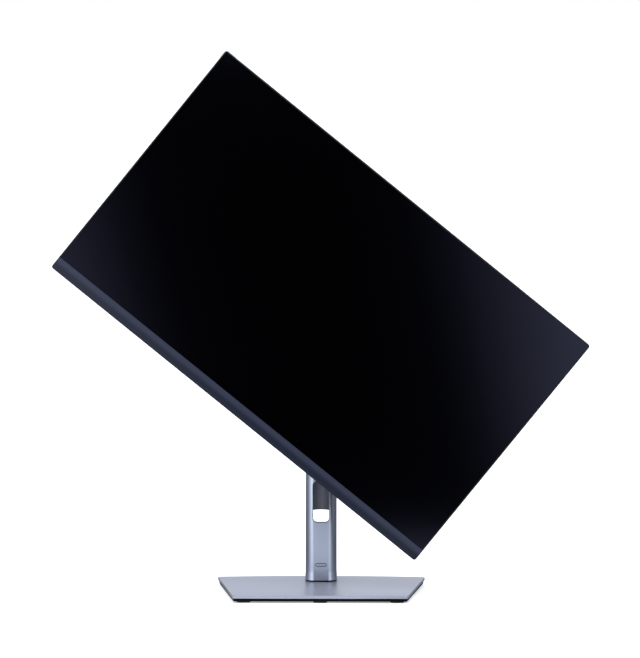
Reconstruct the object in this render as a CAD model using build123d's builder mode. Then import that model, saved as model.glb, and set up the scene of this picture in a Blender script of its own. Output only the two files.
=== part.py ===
from build123d import *
import math
import os

# A 24 inch class desktop monitor on a stand that swivels, lifts, tilts and pivots.
# Millimetres. +X is the viewer's right, +Y is away from the viewer, +Z is up.
# The origin is on the desk, under the middle of the base.
# The display's own pieces are drawn in landscape about the pivot axis, with z = 0 on
# that axis, and save_display() then turns them to the rest pose.

# ---- driving dimensions -------------------------------------------------------------
DISPLAY_WIDTH = 537.8
DISPLAY_HEIGHT = 319.8
CHIN_HEIGHT = 15.5
PIVOT_HEIGHT = 338.0  # pivot axis above the desk, with the lift at its top
REST_TURN = 39.0  # clockwise from landscape, as the viewer sees it
LIFT_TRAVEL = 150.0  # what the slot and the rail allow

BASE_DEPTH = 179.6
BASE_BACK_WIDTH = 245.0
BASE_FRONT_WIDTH = 201.0
BASE_BACK_BOW = 9.5
PLATE_THICKNESS = 3.6
UNDER_COVER_HEIGHT = 3.4
FOOT_HEIGHT = 2.0
FOOT_LENGTH = 16.0
FOOT_WIDTH = 11.0
FEET = [(-88, -78.5), (0, -80.5), (88, -78.5), (-103, 68), (103, 68)]
COVER_SCREWS = [(-70, -62), (70, -62), (-98, 58), (98, 58), (-84, 0), (84, 0)]

RISER_WIDTH = 36.4
RISER_DEPTH = 42.0
RISER_FRONT = 32.8
RISER_TOP = 364.0
RISER_WALL = 2.0
RISER_BOW = 1.0
RISER_CORNER = 10.0
RISER_FLARE = 0.6  # each side, over the lowest FLARE_HEIGHT
FLARE_HEIGHT = 10.0
CAP_HEIGHT = 2.4
SHELL_SPLIT = 60.0
GASKET_HEIGHT = 1.6

# ---- places worked out from them ----------------------------------------------------
HALF_W = DISPLAY_WIDTH / 2
HALF_H = DISPLAY_HEIGHT / 2
CHIN_TOP = -HALF_H + CHIN_HEIGHT
BASE_FRONT = -BASE_DEPTH / 2
BASE_BACK = BASE_DEPTH / 2
PLATE_BOTTOM = FOOT_HEIGHT + UNDER_COVER_HEIGHT
PLATE_TOP = PLATE_BOTTOM + PLATE_THICKNESS
RISER_BACK = RISER_FRONT + RISER_DEPTH
RISER_Y = (RISER_FRONT + RISER_BACK) / 2  # swivel axis
RISER_BOTTOM = PLATE_TOP + GASKET_HEIGHT
SHELL_TOP = RISER_TOP - CAP_HEIGHT

# depths of the display's layers, front to back
CHIN_FRONT = -52.1
RIM_FRONT = -51.9
GLASS_FRONT = -51.5
GLASS_BACK = -50.1
SHEETS_BACK = -49.3
LIGHT_GUIDE_BACK = -46.8
REFLECTOR_BACK = -46.5
TRAY_BACK = -45.7
COVER_JOINT = -41.0
SLAB_BACK = -33.5
HUMP_BACK = -3.0
RECESS_FLOOR = -14.0
COVER_WALL = 2.0
RIM_WALL = 1.4
CORNER_RADIUS = 3.0
GLASS_WIDTH = DISPLAY_WIDTH - 2 * RIM_WALL - 0.4
GLASS_LOW = CHIN_TOP + 0.2
GLASS_TOP = HALF_H - RIM_WALL - 0.2

# hump on the rear cover, pocket for the stand's plate and pocket for the sockets
HUMP_WIDTH = 330.0
HUMP_TOP = 90.0
HUMP_BOTTOM = -118.0
HUMP_TAPER = 25.0
RECESS_HALF = 62.0
PORT_SHELF = -84.0
PORT_POCKET_HALF = 112.0
PORT_POCKET_FRONT = -33.5
VESA_PITCH = 100.0
VESA_HOLE_RADIUS = 1.65
VESA_BOSS_TOP = -14.2

# tilt hinge, pivot stack and lift
TILT_Y = 16.0
TILT_AXLE_RADIUS = 4.0
RUNNING_CLEARANCE = 0.05
PIVOT_SHAFT_RADIUS = 9.0
ARM_HALF = 8.0
HINGE_HALF = 13.7
EAR_THICKNESS = 3.0
BRACKET_FRONT = -8.0
BRACKET_BACK = -5.0
COVER_HALF_X = 26.0
COVER_RADIUS = 15.6
COVER_SKIN = 1.6
PLATE_FRONT = -13.9
PLATE_BACK = -11.4
FRAME_HALF = 15.0
FRAME_FRONT = 44.0
FRAME_BACK = 66.0
FRAME_SHEET = 2.0
FRAME_TOP = 352.0
DRUM_RADIUS = 6.5
DRUM_Y = 56.75
DRUM_BELOW_PIVOT = 33.0
SPINDLE_RADIUS = 10.0
BUSH_RADIUS = 12.0
DISC_SCREW_CIRCLE = 31.0  # radius of the ring of screws round the pivot
HOOK_X = 26.0  # the mounting plate's hooks, each side of the middle

# the swivel's stack and the thumb screw, from below
RETAINER_BOTTOM = 2.4
SPINDLE_BOTTOM = 3.5
WASHER_BOTTOM = 3.55
WASHER_TOP = 4.2
FLANGE_BOTTOM = 4.3
THUMB_HEAD_BOTTOM = 5.2
THUMB_HEAD_TOP = 7.4
THUMB_RECESS_RADIUS = 8.4
RING_PIN_Z = 4.2
RING_PIN_Y = RISER_Y - 5.3

# cable hole through the riser
HOLE_HALF = 10.0
HOLE_BOTTOM = 79.0
HOLE_TOP = 128.0
HOLE_RADIUS = 5.5
HOLE_LIP = 0.7
REAR_HOLE_HALF = 11.0
REAR_HOLE_BOTTOM = 64.0
REAR_HOLE_TOP = 97.0
TROUGH_BOTTOM = 91.8

# sockets on the downward shelf: centre x, centre y, width, thickness, length
SOCKETS = {
    "ac": (84.0, -18.4, 27.0, 19.6, 20.0),
    "hdmi": (46.0, -25.2, 15.0, 6.0, 12.0),
    "display": (22.0, -25.1, 16.6, 6.2, 14.0),
    "usb_b": (-20.0, -22.8, 12.0, 11.0, 16.0),
    "usb_a_1": (-42.0, -25.4, 13.1, 5.8, 14.0),
    "usb_a_2": (-64.0, -25.4, 13.1, 5.8, 14.0),
}
LOCK_SLOT_X = -84.0
SOCKET_GAP = 0.3
SOCKET_PROUD = 0.4

# circuit boards; chips: centre x, centre z, width, height, thickness
BOARD_Y = -30.0
BOARD_THICKNESS = 1.6
MAIN_BOARD_X = (-96.0, 57.0)
POWER_BOARD_X = (62.0, 110.0)
MAIN_CHIPS = [
    (-70, 30, 24, 24, 6.0),
    (-30, 40, 14, 14, 1.4),
    (10, 20, 10, 18, 1.4),
    (-20, -20, 12, 8, 2.2),
]

# controls on the back, near the display's right end
JOYSTICK_X = 236.0
POWER_BUTTON_X = 212.0
CONTROLS_Z = -112.0
RELEASE_Z = -75.0
JOYSTICK_PINS_Y = -40.8
VENT_COUNT = 46
VENT_PITCH = 5.4


# ---- helpers ------------------------------------------------------------------------
def facing(y):
    """The upright plane at depth y that faces the viewer: an extrusion comes forward."""
    return Plane.XZ.offset(-y)


def level(z):
    """The level plane at height z."""
    return Plane.XY.offset(z)


def block(x, y, z, mode=Mode.ADD):
    """A box from its (low, high) spans."""
    with Locations(((x[0] + x[1]) / 2, (y[0] + y[1]) / 2, (z[0] + z[1]) / 2)):
        Box(x[1] - x[0], y[1] - y[0], z[1] - z[0], mode=mode)


def rod(radius, start, end, mode=Mode.ADD):
    """A cylinder between two points."""
    low, high = Vector(*start), Vector(*end)
    with Locations(Plane(origin=(low + high) / 2, z_dir=high - low)):
        Cylinder(radius, (high - low).length, mode=mode)


def save(part, name):
    part.label = name
    export_step(part, f"parts/{name}.step")


def save_display(part, name):
    """Saves a piece of the display, turned from landscape to the rest pose."""
    save(Location((0, 0, PIVOT_HEIGHT), (0, REST_TURN, 0)) * part, name)


def save_head(part, name):
    """Saves a piece drawn with z = 0 on the pivot axis, which stays upright."""
    save(Location((0, 0, PIVOT_HEIGHT)) * part, name)


# ---- base ---------------------------------------------------------------------------
def base_outline(inset, radius):
    """The base's outline in plan: wide bowed back edge, narrower straight front."""
    slope = (BASE_BACK_WIDTH - BASE_FRONT_WIDTH) / 2 / (BASE_DEPTH - BASE_BACK_BOW)
    front, back = BASE_FRONT + inset, BASE_BACK - inset
    side_inset = inset * math.sqrt(1 + slope * slope)
    corner_y = back - BASE_BACK_BOW
    front_x = BASE_FRONT_WIDTH / 2 + slope * inset - side_inset
    back_x = BASE_FRONT_WIDTH / 2 + slope * (corner_y - BASE_FRONT) - side_inset
    with BuildSketch(Plane.XY, mode=Mode.PRIVATE) as outline:
        with BuildLine():
            Polyline((-back_x, corner_y), (-front_x, front), (front_x, front), (back_x, corner_y))
            ThreePointArc((back_x, corner_y), (0, back), (-back_x, corner_y))
        make_face()
        fillet(outline.vertices(), radius)
    return outline.sketch


def base_plate():
    """Painted steel plate with a hole for the swivel bush and blind holes for screws."""
    with BuildPart() as plate:
        with BuildSketch(level(PLATE_BOTTOM)):
            add(base_outline(0, 3))
        extrude(amount=PLATE_THICKNESS)
        fillet(plate.faces().sort_by(Axis.Z)[-1].edges(), 0.8)
        chamfer(plate.faces().sort_by(Axis.Z)[0].edges(), 0.4)
        rod(BUSH_RADIUS, (0, RISER_Y, PLATE_BOTTOM), (0, RISER_Y, PLATE_TOP), Mode.SUBTRACT)
        with Locations(*[(x, y, PLATE_BOTTOM + 1.4) for x, y in COVER_SCREWS]):
            Cylinder(1.3, 2.8, mode=Mode.SUBTRACT)
    return plate.part


def base_under_cover():
    """Black moulded tray under the plate: a floor, a rim, ribs and a round opening."""
    skin = 1.5
    rib = (FOOT_HEIGHT + 1, PLATE_BOTTOM)
    with BuildPart() as cover:
        with BuildSketch(level(FOOT_HEIGHT)):
            add(base_outline(1.4, 2.4))
        extrude(amount=UNDER_COVER_HEIGHT)
        with BuildSketch(level(FOOT_HEIGHT + skin)):
            add(base_outline(3.4, 1.4))
        extrude(amount=UNDER_COVER_HEIGHT, mode=Mode.SUBTRACT)
        for x in (-56, -28, 28, 56):
            block((x - 0.8, x + 0.8), (BASE_FRONT + 3, BASE_BACK - 14), rib)
        for y in (-50, -12, 26):
            block((-100, 100), (y - 0.8, y + 0.8), rib)
        with Locations(*[(x, y, (FOOT_HEIGHT + PLATE_BOTTOM) / 2) for x, y in COVER_SCREWS]):
            Cylinder(4.2, UNDER_COVER_HEIGHT)
        rod(32, (0, RISER_Y, FOOT_HEIGHT), (0, RISER_Y, PLATE_BOTTOM))
        rod(30, (0, RISER_Y, 0), (0, RISER_Y, PLATE_BOTTOM + 1), Mode.SUBTRACT)
        with Locations(*[(x, y, PLATE_BOTTOM / 2) for x, y in COVER_SCREWS]):
            Cylinder(1.6, 10, mode=Mode.SUBTRACT)
        with Locations(*[(x, y, FOOT_HEIGHT + 0.6) for x, y in COVER_SCREWS]):
            Cylinder(3.2, 1.2 + 0.01, mode=Mode.SUBTRACT)
        with BuildSketch(level(FOOT_HEIGHT)):
            with Locations(*FEET):
                SlotOverall(FOOT_LENGTH + 0.4, FOOT_WIDTH + 0.4)
        extrude(amount=0.6, mode=Mode.SUBTRACT)
    return cover.part


def base_feet():
    """Five soft pads, each set in a shallow seat of the under cover."""
    with BuildPart() as feet:
        with BuildSketch(level(0)):
            with Locations(*FEET):
                SlotOverall(FOOT_LENGTH, FOOT_WIDTH)
        extrude(amount=FOOT_HEIGHT + 0.6)
        chamfer(feet.edges().group_by(Axis.Z)[0], 0.5)
    return feet.part


def under_cover_screws():
    """Pan-head screws that hold the under cover to the plate."""
    with BuildPart() as screws:
        for x, y in COVER_SCREWS:
            rod(2.9, (x, y, FOOT_HEIGHT + 0.1), (x, y, FOOT_HEIGHT + 1.2))
            rod(1.3, (x, y, FOOT_HEIGHT + 1.2), (x, y, PLATE_BOTTOM + 2.4))
            drive = (FOOT_HEIGHT, FOOT_HEIGHT + 0.8)
            block((x - 1.6, x + 1.6), (y - 0.35, y + 0.35), drive, Mode.SUBTRACT)
            block((x - 0.35, x + 0.35), (y - 1.6, y + 1.6), drive, Mode.SUBTRACT)
    return screws.part


# ---- swivel -------------------------------------------------------------------------
def swivel_bush():
    """Plastic bush pressed into the plate from below, with a flange under it."""
    with BuildPart() as bush:
        rod(BUSH_RADIUS, (0, RISER_Y, PLATE_BOTTOM), (0, RISER_Y, PLATE_TOP))
        rod(20, (0, RISER_Y, FLANGE_BOTTOM), (0, RISER_Y, PLATE_BOTTOM))
        bore = SPINDLE_RADIUS + RUNNING_CLEARANCE
        rod(bore, (0, RISER_Y, 0), (0, RISER_Y, 12), Mode.SUBTRACT)
    return bush.part


def swivel_spindle():
    """Cast foot inside the riser, with the spindle that turns in the bush."""
    with BuildPart() as foot:
        block((-14, 14), (40, 67), (PLATE_TOP + 0.2, 20))
        fillet(foot.edges().filter_by(Axis.Z), 4)
        block((-12.8, 12.8), (46.2, 63.8), (20, 42))
        rod(SPINDLE_RADIUS, (0, RISER_Y, SPINDLE_BOTTOM), (0, RISER_Y, 12))
        recess_top = THUMB_HEAD_TOP + 0.2
        rod(THUMB_RECESS_RADIUS, (0, RISER_Y, 0), (0, RISER_Y, recess_top), Mode.SUBTRACT)
        rod(3.05, (0, RISER_Y, recess_top), (0, RISER_Y, 24), Mode.SUBTRACT)
    return foot.part


def swivel_retainer():
    """Steel disc on the spindle's lower end, which clamps the bush's flange."""
    with BuildPart() as disc:
        rod(26, (0, RISER_Y, RETAINER_BOTTOM), (0, RISER_Y, SPINDLE_BOTTOM))
        rod(THUMB_RECESS_RADIUS, (0, RISER_Y, 2), (0, RISER_Y, 5), Mode.SUBTRACT)
        with Locations((0, RISER_Y, 3)):
            with PolarLocations(21.5, 4, start_angle=45):
                Cylinder(2.2, 2, mode=Mode.SUBTRACT)
    return disc.part


def swivel_washer():
    """Spring washer between the retainer and the bush's flange."""
    with BuildPart() as washer:
        rod(17, (0, RISER_Y, WASHER_BOTTOM), (0, RISER_Y, WASHER_TOP))
        rod(SPINDLE_RADIUS + 0.3, (0, RISER_Y, 3), (0, RISER_Y, 5), Mode.SUBTRACT)
    return washer.part


def thumb_screw():
    """Captive screw that joins the riser to the base, with a recess for its ring."""
    with BuildPart() as screw:
        rod(8.0, (0, RISER_Y, THUMB_HEAD_BOTTOM), (0, RISER_Y, THUMB_HEAD_TOP))
        rod(3.0, (0, RISER_Y, THUMB_HEAD_TOP), (0, RISER_Y, 22))
        for side in (-1, 1):
            ear_x = sorted((side * 3.2, side * 5.2))
            block(ear_x, (RING_PIN_Y - 1.1, RING_PIN_Y + 1.1), (RING_PIN_Z - 1, THUMB_HEAD_BOTTOM))
        rod(0.7, (-6, RING_PIN_Y, RING_PIN_Z), (6, RING_PIN_Y, RING_PIN_Z), Mode.SUBTRACT)
    return screw.part


def thumb_screw_ring():
    """Folding D ring on the thumb screw, with its pivot pin."""
    hinge_y = RING_PIN_Y
    with BuildPart() as ring:
        with BuildSketch(level(RING_PIN_Z - 0.7)):
            with BuildLine():
                Polyline((-2.9, hinge_y + 1.4), (-2.9, hinge_y - 0.7), (2.9, hinge_y - 0.7))
                Polyline((2.9, hinge_y - 0.7), (2.9, hinge_y + 1.4), (6.2, hinge_y + 3.2))
                Line((6.2, hinge_y + 3.2), (6.2, RISER_Y + 2))
                ThreePointArc((6.2, RISER_Y + 2), (0, RISER_Y + 7.2), (-6.2, RISER_Y + 2))
                Polyline((-6.2, RISER_Y + 2), (-6.2, hinge_y + 3.2), (-2.9, hinge_y + 1.4))
            make_face()
            with Locations((0, RISER_Y + 1.2)):
                RectangleRounded(8.4, 7.6, 3, mode=Mode.SUBTRACT)
        extrude(amount=1.4)
        rod(0.62, (-5.0, hinge_y, RING_PIN_Z), (5.0, hinge_y, RING_PIN_Z))
    return ring.part


# ---- riser --------------------------------------------------------------------------
def riser_outline(inset):
    """The riser's section: bowed front and back, straight sides, round corners."""
    half = RISER_WIDTH / 2 - inset
    front, back = RISER_FRONT + inset, RISER_BACK - inset
    bow = RISER_BOW
    with BuildSketch(Plane.XY, mode=Mode.PRIVATE) as section:
        with BuildLine():
            ThreePointArc((-half, front + bow), (0, front), (half, front + bow))
            Line((half, front + bow), (half, back - bow))
            ThreePointArc((half, back - bow), (0, back), (-half, back - bow))
            Line((-half, back - bow), (-half, front + bow))
        make_face()
        fillet(section.vertices(), RISER_CORNER - inset)
    return section.sketch


def riser_tube(inset, low, high):
    """A length of the riser's section, drawn in by inset."""
    with BuildPart(mode=Mode.PRIVATE) as tube:
        with BuildSketch(level(low)):
            add(riser_outline(inset))
        extrude(amount=high - low)
    return tube.part


def riser_skin():
    """The riser's wall all round, a little wider at its foot."""
    flare_top = RISER_BOTTOM + FLARE_HEIGHT
    with BuildPart(mode=Mode.PRIVATE) as skin:
        add(riser_tube(0, flare_top, SHELL_TOP))
        with BuildSketch(level(RISER_BOTTOM)):
            add(riser_outline(-RISER_FLARE))
        extrude(amount=FLARE_HEIGHT, taper=math.degrees(math.atan(RISER_FLARE / FLARE_HEIGHT)))
        chamfer(skin.faces().sort_by(Axis.Z)[0].edges(), 0.2)
        add(riser_tube(RISER_WALL, 0, RISER_TOP), mode=Mode.SUBTRACT)
    return skin.part


def riser_front_shell():
    """Front and sides of the riser, with the cable hole and the slot for the arm."""
    with BuildPart() as shell:
        add(riser_skin())
        block((-30, 30), (SHELL_SPLIT, 90), (0, 400), Mode.SUBTRACT)
        with BuildSketch(facing(RISER_FRONT + 8)):
            with Locations((0, (HOLE_BOTTOM + HOLE_TOP) / 2)):
                RectangleRounded(2 * HOLE_HALF, HOLE_TOP - HOLE_BOTTOM, HOLE_RADIUS)
        extrude(amount=12, mode=Mode.SUBTRACT)
        slot_low = PIVOT_HEIGHT - LIFT_TRAVEL - ARM_HALF - 4
        slot_high = PIVOT_HEIGHT + ARM_HALF + 4
        with BuildSketch(facing(RISER_FRONT + 8)):
            with Locations((0, (slot_low + slot_high) / 2)):
                RectangleRounded(2 * ARM_HALF + 2, slot_high - slot_low, 4)
        extrude(amount=12, mode=Mode.SUBTRACT)
    return shell.part


def riser_rear_cover():
    """Back of the riser, with the lower mouth of the cable passage."""
    with BuildPart() as cover:
        add(riser_skin())
        block((-30, 30), (0, SHELL_SPLIT + 0.2), (0, 400), Mode.SUBTRACT)
        with BuildSketch(facing(RISER_BACK + 2)):
            with Locations((0, (REAR_HOLE_BOTTOM + REAR_HOLE_TOP) / 2)):
                RectangleRounded(2 * REAR_HOLE_HALF, REAR_HOLE_TOP - REAR_HOLE_BOTTOM, 5)
        extrude(amount=10, mode=Mode.SUBTRACT)
    return cover.part


def riser_top_cap():
    """Cap that closes the riser, with a skirt that fits inside the shells."""
    with BuildPart() as cap:
        add(riser_tube(0, SHELL_TOP + 0.2, RISER_TOP))
        fillet(cap.faces().sort_by(Axis.Z)[-1].edges(), 1.2)
        add(riser_tube(RISER_WALL + 0.15, SHELL_TOP - 4, SHELL_TOP + 0.2))
        add(riser_tube(RISER_WALL + 1.6, SHELL_TOP - 5, SHELL_TOP), mode=Mode.SUBTRACT)
    return cap.part


def riser_foot_gasket():
    """Dark gasket under the shells, which rides just clear of the base plate."""
    with BuildPart() as gasket:
        add(riser_tube(0.5, PLATE_TOP + 0.1, RISER_BOTTOM))
        add(riser_tube(3.2, 0, RISER_TOP), mode=Mode.SUBTRACT)
    return gasket.part


def rail_frame():
    """Folded steel channel inside the riser: the lift's rail."""
    with BuildPart() as frame:
        block((-FRAME_HALF, FRAME_HALF), (FRAME_FRONT, FRAME_BACK), (20.2, FRAME_TOP))
        fillet(frame.edges().filter_by(Axis.Z).group_by(Axis.Y)[-1], 2.5)
        inner = FRAME_HALF - FRAME_SHEET
        block((-inner, inner), (0, FRAME_BACK - FRAME_SHEET), (0, 400), Mode.SUBTRACT)
        block((-12, 12), (60, 70), (REAR_HOLE_BOTTOM - 4, REAR_HOLE_TOP + 3), Mode.SUBTRACT)
        for z in (150, 210, 270):
            with BuildSketch(facing(FRAME_BACK + 1)):
                with Locations((0, z)):
                    SlotOverall(26, 8, rotation=90)
            extrude(amount=4, mode=Mode.SUBTRACT)
    return frame.part


def cable_passage_liner():
    """Liner of the cable passage: a half-round trough, a duct below, and a lip behind the hole."""
    wall = 1.0
    trough_y = 46.0
    half = 10.6
    floor = REAR_HOLE_BOTTOM - 1.2
    with BuildPart() as liner:
        with BuildSketch(level(TROUGH_BOTTOM)):
            with Locations((0, trough_y)):
                Circle(half)
            with Locations((0, trough_y - 10)):
                Rectangle(2 * half, 20)
            with Locations((0, trough_y)):
                Circle(half - wall, mode=Mode.SUBTRACT)
            with Locations((0, trough_y - 10)):
                Rectangle(2 * (half - wall), 20, mode=Mode.SUBTRACT)
        extrude(amount=HOLE_TOP + 2 - TROUGH_BOTTOM)
        block((-half, half), (20, trough_y), (HOLE_TOP + 1, HOLE_TOP + 2))
        rod(half, (0, trough_y, HOLE_TOP + 1), (0, trough_y, HOLE_TOP + 2))
        for side in (-1, 1):
            x = sorted((side * half, side * (half + wall)))
            block(x, (20, 80), (floor, TROUGH_BOTTOM + 2))
        block((-half, half), (20, 80), (floor, floor + wall))
        block((-half, half), (trough_y + 7, 80), (TROUGH_BOTTOM + 1, TROUGH_BOTTOM + 2))
        rod(half - wall, (0, trough_y, 60), (0, trough_y, TROUGH_BOTTOM + 3), Mode.SUBTRACT)
        block((-half, half), (20, 80), (floor, floor + wall))
        lip_back = RISER_FRONT + RISER_WALL + 1.5
        clear_width = 2 * (HOLE_HALF - HOLE_LIP)
        clear_height = HOLE_TOP - HOLE_BOTTOM - 2 * HOLE_LIP
        block((-half - wall, half + wall), (20, lip_back), (floor, HOLE_TOP + 2))
        with BuildSketch(facing(20)):
            with Locations((0, (HOLE_BOTTOM + HOLE_TOP) / 2)):
                RectangleRounded(clear_width, clear_height, HOLE_RADIUS - HOLE_LIP)
        extrude(amount=-(lip_back - 20), mode=Mode.SUBTRACT)
        add(riser_tube(RISER_WALL + 0.3, 0, RISER_TOP), mode=Mode.INTERSECT)
    return liner.part


def blank_badge():
    """A plain capsule outline on the riser's front, with nothing written in it."""
    badge_z = 29.0
    with BuildPart() as badge:
        add(riser_tube(-0.12, badge_z - 6, badge_z + 6))
        add(riser_tube(0, 0, RISER_TOP), mode=Mode.SUBTRACT)
        with BuildSketch(facing(RISER_FRONT + 4)):
            with Locations((0, badge_z)):
                SlotOverall(13.4, 4.4)
                SlotOverall(11.4, 2.4, mode=Mode.SUBTRACT)
        extrude(amount=8, mode=Mode.INTERSECT)
    return badge.part


# ---- lift ---------------------------------------------------------------------------
def on_drum_axis(x):
    """A point on the spool's axis, which rides in the carriage."""
    return (x, DRUM_Y, -DRUM_BELOW_PIVOT)


def carriage():
    """Cast carriage with the arm that reaches out through the slot to the tilt axle."""
    with BuildPart() as body:
        block((-10, 10), (48, 62.5), (-24, 18))
        fillet(body.edges().filter_by(Axis.X), 1.5)
        for side in (-1, 1):
            block(sorted((side * 8.6, side * 10)), (50, 62), (-43, -22))
        block((-ARM_HALF, ARM_HALF), (TILT_Y, 50), (-ARM_HALF, ARM_HALF))
        rod(ARM_HALF, (-HINGE_HALF, TILT_Y, 0), (HINGE_HALF, TILT_Y, 0))
        rod(TILT_AXLE_RADIUS, (-20, TILT_Y, 0), (20, TILT_Y, 0), Mode.SUBTRACT)
        rod(2.0, on_drum_axis(-20), on_drum_axis(20), Mode.SUBTRACT)
        block((-4, 4), (26, 46), (-20, -3), Mode.SUBTRACT)
    return body.part


def glide_shoes():
    """Four slippery shoes between the carriage and the rail."""
    with BuildPart() as shoes:
        for side in (-1, 1):
            for z in ((-20, -8), (4, 16)):
                block(sorted((side * 10, side * 12.9)), (49, 61.5), z)
        chamfer(shoes.edges().filter_by(Axis.Y), 0.6)
    return shoes.part


def spring_axle():
    """Pin across the carriage, with a head on each end, that the spool turns on."""
    with BuildPart() as axle:
        rod(1.95, on_drum_axis(-10.6), on_drum_axis(10.6))
        for side in (-1, 1):
            rod(3.2, on_drum_axis(side * 10.1), on_drum_axis(side * 11.2))
    return axle.part


def spring_drum():
    """Spool with the two rolled constant-force springs on it."""
    with BuildPart() as drum:
        for low, high in ((-8.3, -7.9), (-0.3, 0.3), (7.9, 8.3)):
            rod(DRUM_RADIUS - 0.7, on_drum_axis(low), on_drum_axis(high))
        for side in (-1, 1):
            rod(DRUM_RADIUS, on_drum_axis(side * 0.3), on_drum_axis(side * 7.9))
        rod(2.02, on_drum_axis(-20), on_drum_axis(20), Mode.SUBTRACT)
    return drum.part


def lift_spring_strips():
    """The springs' unrolled ends, from the drum up to the top of the rail."""
    with BuildPart() as strips:
        for side in (-1, 1):
            x = sorted((side * 0.8, side * 7.6))
            block(x, (63.4, 63.65), (-DRUM_BELOW_PIVOT, FRAME_TOP - PIVOT_HEIGHT - 2))
    return strips.part


def tilt_axle():
    """Steel axle of the tilt hinge, with a flat on each end."""
    with BuildPart() as axle:
        rod(TILT_AXLE_RADIUS, (-23.4, TILT_Y, 0), (23.4, TILT_Y, 0))
        chamfer(axle.edges().filter_by(GeomType.CIRCLE), 0.6)
    return axle.part


def tilt_washers():
    """Disc springs and a plain washer outside each ear of the tilt bracket."""
    with BuildPart() as washers:
        for side in (-1, 1):
            for low, radius in ((17.1, 7.5), (17.8, 7.0), (18.5, 7.0)):
                rod(radius, (side * low, TILT_Y, 0), (side * (low + 0.6), TILT_Y, 0))
        rod(TILT_AXLE_RADIUS + 0.02, (-25, TILT_Y, 0), (25, TILT_Y, 0), Mode.SUBTRACT)
    return washers.part


def tilt_nuts():
    """Hexagon nuts on the tilt axle."""
    with BuildPart() as nuts:
        for side in (-1, 1):
            with BuildSketch(Plane(origin=(side * 19.2, TILT_Y, 0), z_dir=(side, 0, 0))):
                RegularPolygon(6.8, 6, major_radius=False)
            extrude(amount=3.6)
        rod(TILT_AXLE_RADIUS + 0.02, (-25, TILT_Y, 0), (25, TILT_Y, 0), Mode.SUBTRACT)
    return nuts.part


# ---- head ---------------------------------------------------------------------------
def tilt_bracket():
    """Steel bracket: a round front plate on the pivot and two ears on the tilt axle."""
    with BuildPart() as bracket:
        rod(31, (0, BRACKET_BACK, 0), (0, BRACKET_FRONT, 0))
        for side in (-1, 1):
            x = sorted((side * (HINGE_HALF + 0.3), side * (HINGE_HALF + 0.3 + EAR_THICKNESS)))
            block(x, (BRACKET_BACK - 1, TILT_Y), (-9, 9))
            rod(9, (x[0], TILT_Y, 0), (x[1], TILT_Y, 0))
        bore = TILT_AXLE_RADIUS + RUNNING_CLEARANCE
        rod(bore, (-20, TILT_Y, 0), (20, TILT_Y, 0), Mode.SUBTRACT)
        rod(PIVOT_SHAFT_RADIUS + 0.02, (0, 0, 0), (0, -20, 0), Mode.SUBTRACT)
    return bracket.part


def pivot_shaft():
    """Flanged hollow shaft, riveted in the bracket, that the pivot disc turns on."""
    with BuildPart() as shaft:
        rod(14, (0, -13.5, 0), (0, -11.5, 0))
        rod(PIVOT_SHAFT_RADIUS, (0, -11.5, 0), (0, -3.6, 0))
        rod(4, (0, -20, 0), (0, 0, 0), Mode.SUBTRACT)
        chamfer(shaft.faces().sort_by(Axis.Y)[-1].edges(), 0.5)
    return shaft.part


def pivot_nut():
    """Ring nut behind the bracket."""
    with BuildPart() as nut:
        rod(12.6, (0, -4.9, 0), (0, -2.6, 0))
        rod(PIVOT_SHAFT_RADIUS + 0.02, (0, -20, 0), (0, 0, 0), Mode.SUBTRACT)
        with BuildSketch(facing(-2)):
            with PolarLocations(12.6, 4):
                Rectangle(3, 3)
        extrude(amount=4, mode=Mode.SUBTRACT)
    return nut.part


def pivot_washer():
    """Friction washer between the pivot disc and the bracket."""
    with BuildPart() as washer:
        rod(28, (0, -8.7, 0), (0, -8.05, 0))
        rod(PIVOT_SHAFT_RADIUS + 0.3, (0, -20, 0), (0, 0, 0), Mode.SUBTRACT)
    return washer.part


def head_cover_form(inset):
    """The hinge cover's form: a barrel round the tilt axle, carried forward."""
    with BuildPart(mode=Mode.PRIVATE) as form:
        radius = COVER_RADIUS - inset
        half = COVER_HALF_X - inset
        rod(radius, (-half, TILT_Y, 0), (half, TILT_Y, 0))
        block((-half, half), (BRACKET_BACK + 0.3 - 2 * inset, TILT_Y), (-radius, radius))
    return form.part


def head_cover(upper):
    """One half of the moulded cover over the tilt hinge."""
    with BuildPart() as cover:
        add(head_cover_form(0))
        fillet(cover.edges().filter_by(GeomType.CIRCLE), 1.2)
        add(head_cover_form(COVER_SKIN), mode=Mode.SUBTRACT)
        block((-8.7, 8.7), (TILT_Y, 40), (-10.8, 13.8), Mode.SUBTRACT)
        other_half = (-40, 0.05) if upper else (-0.05, 40)
        block((-40, 40), (-40, 60), other_half, Mode.SUBTRACT)
    return cover.part


# ---- what turns on the pivot --------------------------------------------------------
def disc_screws(radius, front, back, mode=Mode.ADD):
    """Four rods on the ring of screws that holds the mounting plate to the disc."""
    for angle in (45, 135, 225, 315):
        x = DISC_SCREW_CIRCLE * math.cos(math.radians(angle))
        z = DISC_SCREW_CIRCLE * math.sin(math.radians(angle))
        rod(radius, (x, front, z), (x, back, z), mode)


def pivot_disc():
    """Steel disc that turns on the pivot shaft, fixed to the mounting plate."""
    with BuildPart() as disc:
        rod(34, (0, -11.4, 0), (0, -8.8, 0))
        bore = PIVOT_SHAFT_RADIUS + RUNNING_CLEARANCE
        rod(bore, (0, -20, 0), (0, 0, 0), Mode.SUBTRACT)
        disc_screws(1.6, -20, 0, Mode.SUBTRACT)
    return disc.part


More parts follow.
